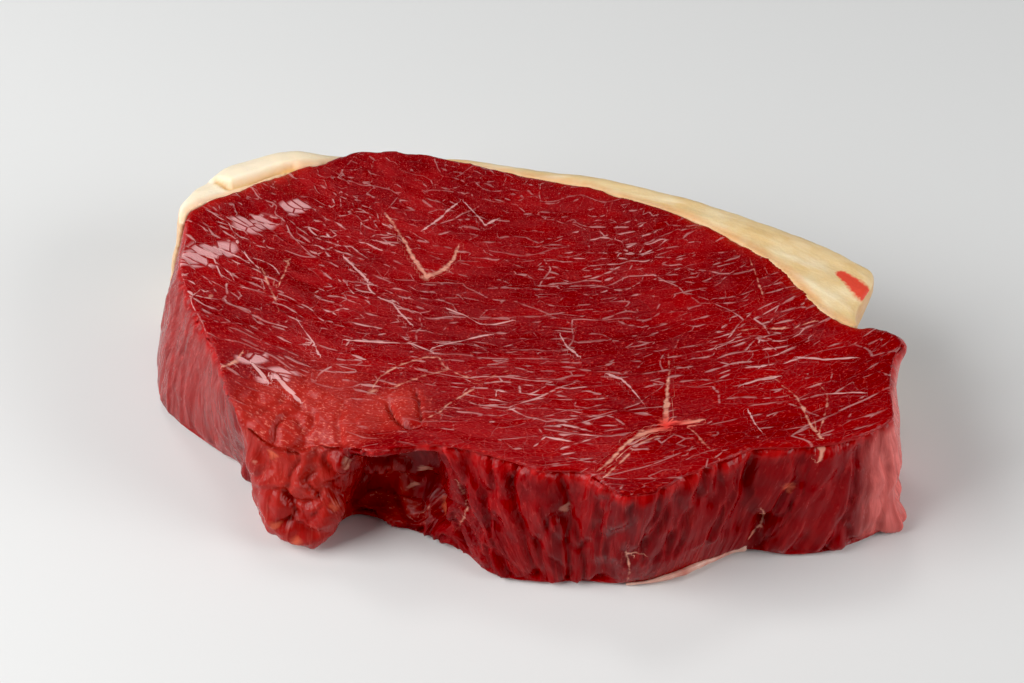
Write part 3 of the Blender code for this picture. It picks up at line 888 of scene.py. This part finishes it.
def fat_relief(points, normals):
    """How far each point of the fat cap moves out along its normal."""
    x, y, z = points.T
    up = smooth_step(0.3, 0.8, normals[:, 2])
    wall = 1 - up
    strip = strip_coordinates(points)
    out = up * 0.45 * noise(strip, (30, 5.0, 8), 21)
    out += 0.35 * noise(points, (11, 11, 11), 22) + 0.12 * noise(points, (3.5, 3.5, 3.5), 23)
    out += wall * (0.7 * noise(points, (16, 16, 6), 24) + 0.5 * noise(points, (6, 6, 9), 26))
    outward = np.column_stack([x, y - FAT_MIDDLE_Y])
    outward /= np.linalg.norm(outward, axis=1, keepdims=True)
    inner = smooth_step(0.2, 0.7, -(normals[:, :2] * outward).sum(axis=1))
    out = out * (1 - inner) + INTO_LEAN * inner
    out += up * trench(points[:, :2], FAT_FOLD, 0.75, 2.2)
    above, _ = beside_line(points[:, :2], FAT_FOLD)
    roll = smooth_step(-88, -80, x) * (1 - smooth_step(-62, -52, x))
    out += up * roll * (1.1 * smooth_step(0.2, 2.0, above) - 0.9 * smooth_step(0.2, 2.0, -above))
    return out


def fat_material(settings):
    """Firm beef fat, cut with a knife on top and torn from the hide on its outer side.

    It is waxy and lets light in a little, so it looks soft and creamy, with paler streaks along
    its length and a drier, browner skin outside.
    """
    material, add = empty_material("firm_beef_fat_knife_cut")
    grain = add("ShaderNodeAttribute", {}, "Vector", attribute_name="grain")
    skin = add("ShaderNodeAttribute", {}, "Fac", attribute_name="skin")
    meat = add("ShaderNodeAttribute", {}, "Fac", attribute_name="meat")
    # Painted shade in the crease of the fat's fold.
    fold_crease_shade = add("ShaderNodeAttribute", {}, "Fac", attribute_name="fold_crease_shade")
    left_end = add(MAP_RANGE, (add("ShaderNodeSeparateXYZ", (grain,)), -20.0, -65.0, 0.0, 0.9))
    beside_lean = add("ShaderNodeAttribute", {}, "Fac", attribute_name="beside_lean")
    cloud = noises(
        add,
        grain,
        (
            ("streak", (16.0, 3.4, 3.4), 2.0),
            ("mottle", (8.3, 8.3, 8.3), 4.0),
            ("fine", (0.9, 0.9, 0.9), 3.0),
        ),
    )
    deeper = add(MAP_RANGE, (cloud["mottle"], 0.35, 0.65))
    paler = add(MAP_RANGE, (cloud["streak"], 0.5, 0.7, 0.0, 0.6))
    dry = add(MATH, (cloud["fine"], 0.5, skin), operation="MULTIPLY_ADD")
    dry = add(MAP_RANGE, (dry, 0.6, 1.2, 0.0, 0.75))
    bloody = add(MATH, (cloud["fine"], 0.5, meat), operation="MULTIPLY_ADD")
    bloody = add(MAP_RANGE, (bloody, 0.6, 0.9))
    stained = add(MATH, (cloud["mottle"], 0.8, beside_lean), operation="MULTIPLY_ADD")
    stained = add(MAP_RANGE, (stained, 0.6, 1.5, 0.0, 0.6))
    layers = (
        (deeper, rgba(settings.fat_shadow)),
        (left_end, rgba(srgb("fdecd2"))),
        (paler, rgba(srgb("f8e6c4"))),
        (dry, rgba(settings.skin_colour)),
        (stained, rgba(srgb("e8a068"))),
        # painted shade: darker yellow in the fold's crease
        (fold_crease_shade, rgba(srgb("d8a248"))),
        (bloody, rgba(srgb("e24c38"))),
    )
    colour = layered(add, rgba(settings.fat_colour), layers)
    height = add(MATH, (cloud["fine"], 0.12), operation="MULTIPLY")
    height = add(MATH, (cloud["streak"], 0.4, height), operation="MULTIPLY_ADD")
    bump = add("ShaderNodeBump", {"Strength": 1.0, "Distance": MM, "Height": height})
    surface = add(
        "ShaderNodeBsdfPrincipled",
        {
            "Base Color": colour,
            "Roughness": 0.42,
            "IOR": 1.45,
            "Specular IOR Level": 0.4,
            "Subsurface Weight": 0.2,
            "Subsurface Radius": (3.0, 2.0, 1.0),
            "Subsurface Scale": MM,
            "Normal": bump,
        },
    )
    add("ShaderNodeOutputMaterial", {"Surface": surface}, None)
    return material


def seam_fat_material(settings):
    """Silverskin and fat pulled thin between two muscles: moist, pinkish and half see-through."""
    material, add = empty_material("moist_silverskin_and_fat")
    place = add("ShaderNodeTexCoord", {}, "Object")
    place = add(VECTOR_MATH, (place, (1 / MM,) * 3), operation="MULTIPLY")
    cloud = noises(add, place, (("broad", (5.5, 5.5, 5.5), 4.0), ("fine", (1.1, 1.1, 1.1), 2.0)))
    meaty = add(MAP_RANGE, (cloud["broad"], 0.38, 0.68, 0.0, 0.8))
    colour = layered(add, rgba(settings.seam_fat_colour), ((meaty, rgba(srgb("b05a4c"))),))
    bump = add("ShaderNodeBump", {"Strength": 1.0, "Distance": 0.2 * MM, "Height": cloud["fine"]})
    surface = add(
        "ShaderNodeBsdfPrincipled",
        {
            "Base Color": colour,
            "Roughness": 0.35,
            "IOR": 1.42,
            "Specular IOR Level": 0.4,
            "Subsurface Weight": 0.2,
            "Subsurface Radius": (2.0, 1.0, 0.7),
            "Subsurface Scale": MM,
            "Normal": bump,
        },
    )
    add("ShaderNodeOutputMaterial", {"Surface": surface}, None)
    return material


def floor_material(settings):
    """Matt white acrylic sheet, with no pattern of its own."""
    material, add = empty_material("matt_white_sheet")
    surface = add("ShaderNodeBsdfPrincipled", {"Base Color": rgba(settings.floor_colour), "Roughness": 0.8})
    add("ShaderNodeOutputMaterial", {"Surface": surface}, None)
    return material


# ---------------------------------------------------------------------------------------------
# Stage

CAMERA_PLACE = (-0.5, -388.0, 380.4)
CAMERA_TARGET = (-0.5, 6.4, 19.0)
BLACK_LEVEL = 0.007  # the camera's contrast: light below this is black
FLOOR_HALF = 4.0  # metres
WHITE_LIGHT = (1.0, 1.0, 1.0)
SOFTBOXES = {  # azimuth and elevation in degrees, distance and size in metres
    "left": (106, 36, 1.05, 0.8),
    "right": (-108, 24, 1.4, 0.8),
    "back": (14, 62, 1.5, 0.3),
}


def aim(thing, place, target):
    """Puts a lamp or camera at a place and points it at the target, both in millimetres."""
    thing.location = Vector(place) * MM
    direction = (Vector(target) - Vector(place)).normalized()
    thing.rotation_euler = direction.to_track_quat("-Z", "Y").to_euler()


def add_softbox(side, power):
    """A square softbox. Its azimuth runs from +Y towards -X, seen from above."""
    azimuth, elevation, distance, size = SOFTBOXES[side]
    light = bpy.data.lights.new(f"{side}_softbox", "AREA")
    light.shape = "SQUARE"
    light.size = size
    light.energy = power
    light.color = WHITE_LIGHT
    lamp = bpy.data.objects.new(f"{side}_softbox", light)
    bpy.context.scene.collection.objects.link(lamp)
    turn, rise = math.radians(azimuth), math.radians(elevation)
    way = Vector((-math.sin(turn) * math.cos(rise), math.cos(turn) * math.cos(rise), math.sin(rise)))
    aim(lamp, way * distance / MM, (0, 0, 0))


# ---------------------------------------------------------------------------------------------
# Settings


COLOUR = {"size": 3, "subtype": "COLOR", "min": 0.0, "max": 1.0}


class SteakLeanSettings(bpy.types.PropertyGroup):
    """Sizes and colours of the lean meat."""

    face_size: FloatProperty(
        name="Face Size",
        description="Size of the mesh's faces, in millimetres",
        default=0.7,
        min=0.4,
    )
    bundle_length: FloatProperty(
        name="Bundle Length",
        description="Length of a fibre bundle on the cut face, in millimetres",
        default=6.0,
        min=0.5,
    )
    bundle_width: FloatProperty(
        name="Bundle Width",
        description="Width of a fibre bundle, in millimetres",
        default=2.3,
        min=0.3,
    )
    facet_tilt: FloatProperty(
        name="Facet Tilt",
        description="Slope of the bundles' cut ends",
        default=0.18,
        min=0.0,
    )
    ridge_height: FloatProperty(
        name="Ridge Height",
        description="How far the skins between bundles stand up, in millimetres",
        default=0.1,
        min=0.0,
    )
    # This width is also the width of the skins' painted glints.
    skin_and_glint_width: FloatProperty(
        name="Skin Width",
        description="Half width of the widest skins, in millimetres",
        default=0.42,
        min=0.0,
    )
    # How much the skins and their painted glints show.
    skin_and_glint_strength: FloatProperty(
        name="Skin Strength",
        description="How much the pale skins show",
        default=0.95,
        min=0.0,
        max=1.0,
        subtype="FACTOR",
    )
    deep_red: FloatVectorProperty(
        name="Deep Red",
        description="Colour of the darker meat",
        default=srgb("810308"),
        **COLOUR,
    )
    bright_red: FloatVectorProperty(
        name="Bright Red",
        description="Colour of the brighter meat",
        default=srgb("9c0c10"),
        **COLOUR,
    )
    rim_red: FloatVectorProperty(
        name="Rim Red",
        description="Colour of the wall just under the cut face",
        default=srgb("b01c1c"),
        **COLOUR,
    )
    loose_red: FloatVectorProperty(
        name="Loose Meat",
        description="Colour of the loose meat at the front left",
        default=srgb("b43028"),
        **COLOUR,
    )
    # Colour of the pale skins, which also paints their glints.
    skin_colour: FloatVectorProperty(
        name="Skin Colour",
        description="Colour of the skins between bundles",
        default=srgb("ecbab6"),
        **COLOUR,
    )
    # Half dry film and painted sheen at both ends.
    film_and_painted_sheen_colour: FloatVectorProperty(
        name="Film",
        description="Colour of the half dry film on the walls at both ends",
        default=srgb("e27670"),
        **COLOUR,
    )
    seam_colour: FloatVectorProperty(
        name="Seam Colour",
        description="Colour of the fat between muscles",
        default=srgb("e09c86"),
        **COLOUR,
    )


class SteakFatSettings(bpy.types.PropertyGroup):
    """Sizes and colours of the fat."""

    face_size: FloatProperty(
        name="Face Size",
        description="Size of the mesh's faces, in millimetres",
        default=0.7,
        min=0.4,
    )
    fat_colour: FloatVectorProperty(
        name="Fat",
        description="Colour of the cut fat",
        default=srgb("ebd2a4"),
        **COLOUR,
    )
    fat_shadow: FloatVectorProperty(
        name="Deeper Fat",
        description="Colour of the yellower fat",
        default=srgb("e2c088"),
        **COLOUR,
    )
    skin_colour: FloatVectorProperty(
        name="Dry Skin",
        description="Colour of the dry outer side",
        default=srgb("c99a6c"),
        **COLOUR,
    )
    seam_fat_colour: FloatVectorProperty(
        name="Seam Fat",
        description="Colour of the lip of fat on the front edge",
        default=srgb("dcb4a4"),
        **COLOUR,
    )


class SteakStageSettings(bpy.types.PropertyGroup):
    """Floor, lights and camera."""

    floor_colour: FloatVectorProperty(
        name="Floor",
        description="Colour of the sheet below",
        default=(0.74, 0.74, 0.73),
        **COLOUR,
    )
    left_power: FloatProperty(
        name="Left Light",
        description="Power of the left softbox, in watts",
        default=13.5,
        min=0.0,
    )
    right_power: FloatProperty(
        name="Right Light",
        description="Power of the right softbox, in watts",
        default=12.5,
        min=0.0,
    )
    back_power: FloatProperty(
        name="Back Light",
        description="Power of the high softbox behind, in watts",
        default=2.4,
        min=0.0,
    )
    lens: FloatProperty(
        name="Lens",
        description="Focal length",
        default=70.0,
        min=10.0,
        unit="CAMERA",
    )


# ---------------------------------------------------------------------------------------------
# Operators


class STEAK_OT_add_lean(bpy.types.Operator):
    """Adds the lean meat, with its columns, seams, notch and flap"""

    bl_idname = "steak.add_lean"
    bl_label = "Add Lean"

    def execute(self, context):
        settings = context.scene.steak_lean
        piece = even_mesh("lean", "lean_meat", settings.face_size)
        mesh = piece.data
        close_flat_foot(mesh)
        points = relaxed(mesh, points_of(mesh), 2)
        sagging = spot(points, SAGGING_EDGE, (14, 8, 9))[:, None]
        points = points + sagging * (relaxed(mesh, points, 80) - points)
        set_points(mesh, points)
        normals = normals_of(mesh)
        marks = lean_marks(points, normals)
        points = points + normals * lean_relief(points, normals)[:, None]
        points[:, 2] = np.maximum(points[:, 2], 0)
        set_points(mesh, points)
        for name, values in marks.items():
            store(mesh, name, values)
        finish_piece(piece, "lean", lean_material(settings))
        return {"FINISHED"}


class STEAK_OT_add_fat_cap(bpy.types.Operator):
    """Adds the fat along the back edge"""

    bl_idname = "steak.add_fat_cap"
    bl_label = "Add Fat Cap"

    def execute(self, context):
        settings = context.scene.steak_fat
        piece = even_mesh("fat_cap", "fat_cap_fat", settings.face_size)
        mesh = piece.data
        points = relaxed(mesh, points_of(mesh), 2)
        set_points(mesh, points)
        normals = normals_of(mesh)
        moved = points + normals * fat_relief(points, normals)[:, None]
        moved[:, 2] = np.maximum(moved[:, 2], 0)
        set_points(mesh, moved)
        store(mesh, "grain", strip_coordinates(points))
        store(mesh, "skin", 1 - smooth_step(0.2, 0.85, normals[:, 2]))
        up = smooth_step(0.2, 0.6, normals[:, 2])
        away, share = beside_line(points[:, :2], FAT_INCLUSION)
        store(mesh, "meat", up * np.exp(-((away / (1.8 + 1.6 * share)) ** 2)))
        # Where shade is painted in the crease below the fat's roll.
        away, _ = beside_line(points[:, :2], FAT_FOLD)
        store(mesh, "fold_crease_shade", up * 0.75 * np.exp(-((away / 0.9) ** 2)))
        store(mesh, "beside_lean", up * smooth_step(4.0, 0.3, distance_to("lean", points)))
        finish_piece(piece, "fat_cap", fat_material(settings))
        return {"FINISHED"}


class STEAK_OT_add_seam_fat(bpy.types.Operator):
    """Adds the thin lip of fat low on the front edge"""

    bl_idname = "steak.add_seam_fat"
    bl_label = "Add Seam Fat"

    def execute(self, context):
        settings = context.scene.steak_fat
        piece = even_mesh("seam_fat", "seam_fat_lip", SEAM_FAT_FACE)
        mesh = piece.data
        points = relaxed(mesh, points_of(mesh), 1)
        set_points(mesh, points)
        normals = normals_of(mesh)
        points = points + normals * (0.1 + 0.35 * noise(points, (4, 4, 2.5), 31))[:, None]
        right_end = smooth_step(44, 57, points[:, 0])
        points[:, 1] += 0.6 + 1.3 * right_end
        points[:, 2] *= 1 - 0.5 * right_end
        points[:, 2] = np.maximum(points[:, 2], 0)
        set_points(mesh, points)
        finish_piece(piece, "seam_fat", seam_fat_material(settings))
        return {"FINISHED"}


class STEAK_OT_add_stage(bpy.types.Operator):
    """Adds the floor, the softboxes and the camera"""

    bl_idname = "steak.add_stage"
    bl_label = "Add Stage"

    def execute(self, context):
        settings = context.scene.steak_stage
        mesh = bpy.data.meshes.new("floor")
        corners = [(x * FLOOR_HALF, y * FLOOR_HALF, 0) for x, y in ((-1, -1), (1, -1), (1, 1), (-1, 1))]
        mesh.from_pydata(corners, [], [(0, 1, 2, 3)])
        mesh.materials.append(floor_material(settings))
        floor = bpy.data.objects.new("floor", mesh)
        floor.location.z = -0.1 * MM
        context.scene.collection.objects.link(floor)

        add_softbox("left", settings.left_power)
        add_softbox("right", settings.right_power)
        add_softbox("back", settings.back_power)

        world = bpy.data.worlds.new("dim_room")
        world.use_nodes = True
        background = world.node_tree.nodes["Background"]
        background.inputs["Color"].default_value = (0.9, 0.95, 1.0, 1.0)
        background.inputs["Strength"].default_value = 0.12
        context.scene.world = world

        data = bpy.data.cameras.new("camera")
        data.lens = settings.lens
        data.clip_start = 0.01
        camera = bpy.data.objects.new("camera", data)
        context.scene.collection.objects.link(camera)
        aim(camera, CAMERA_PLACE, CAMERA_TARGET)
        context.scene.camera = camera
        view = context.scene.view_settings
        view.view_transform = "Standard"
        view.use_curve_mapping = True
        view.curve_mapping.black_level = (BLACK_LEVEL,) * 3
        view.curve_mapping.update()
        return {"FINISHED"}


class STEAK_PT_build(bpy.types.Panel):
    """Lists the steps that build the steak"""

    bl_idname = "STEAK_PT_build"
    bl_label = "Raw Sirloin Steak"
    bl_space_type = "VIEW_3D"
    bl_region_type = "UI"
    bl_category = "Steak"

    def draw(self, context):
        for group, operators in (
            (context.scene.steak_lean, (STEAK_OT_add_lean,)),
            (context.scene.steak_fat, (STEAK_OT_add_fat_cap, STEAK_OT_add_seam_fat)),
            (context.scene.steak_stage, (STEAK_OT_add_stage,)),
        ):
            box = self.layout.box()
            for name in group.__annotations__:
                box.prop(group, name)
            for operator in operators:
                box.operator(operator.bl_idname)


CLASSES = (
    SteakLeanSettings,
    SteakFatSettings,
    SteakStageSettings,
    STEAK_OT_add_lean,
    STEAK_OT_add_fat_cap,
    STEAK_OT_add_seam_fat,
    STEAK_OT_add_stage,
    STEAK_PT_build,
)


def register():
    for made in CLASSES:
        bpy.utils.register_class(made)
    bpy.types.Scene.steak_lean = PointerProperty(type=SteakLeanSettings)
    bpy.types.Scene.steak_fat = PointerProperty(type=SteakFatSettings)
    bpy.types.Scene.steak_stage = PointerProperty(type=SteakStageSettings)


def unregister():
    del bpy.types.Scene.steak_stage
    del bpy.types.Scene.steak_fat
    del bpy.types.Scene.steak_lean
    for made in reversed(CLASSES):
        bpy.utils.unregister_class(made)


def main():
    register()
    bpy.ops.steak.add_lean()
    bpy.ops.steak.add_fat_cap()
    bpy.ops.steak.add_seam_fat()
    bpy.ops.steak.add_stage()


if __name__ == "__main__":
    main()
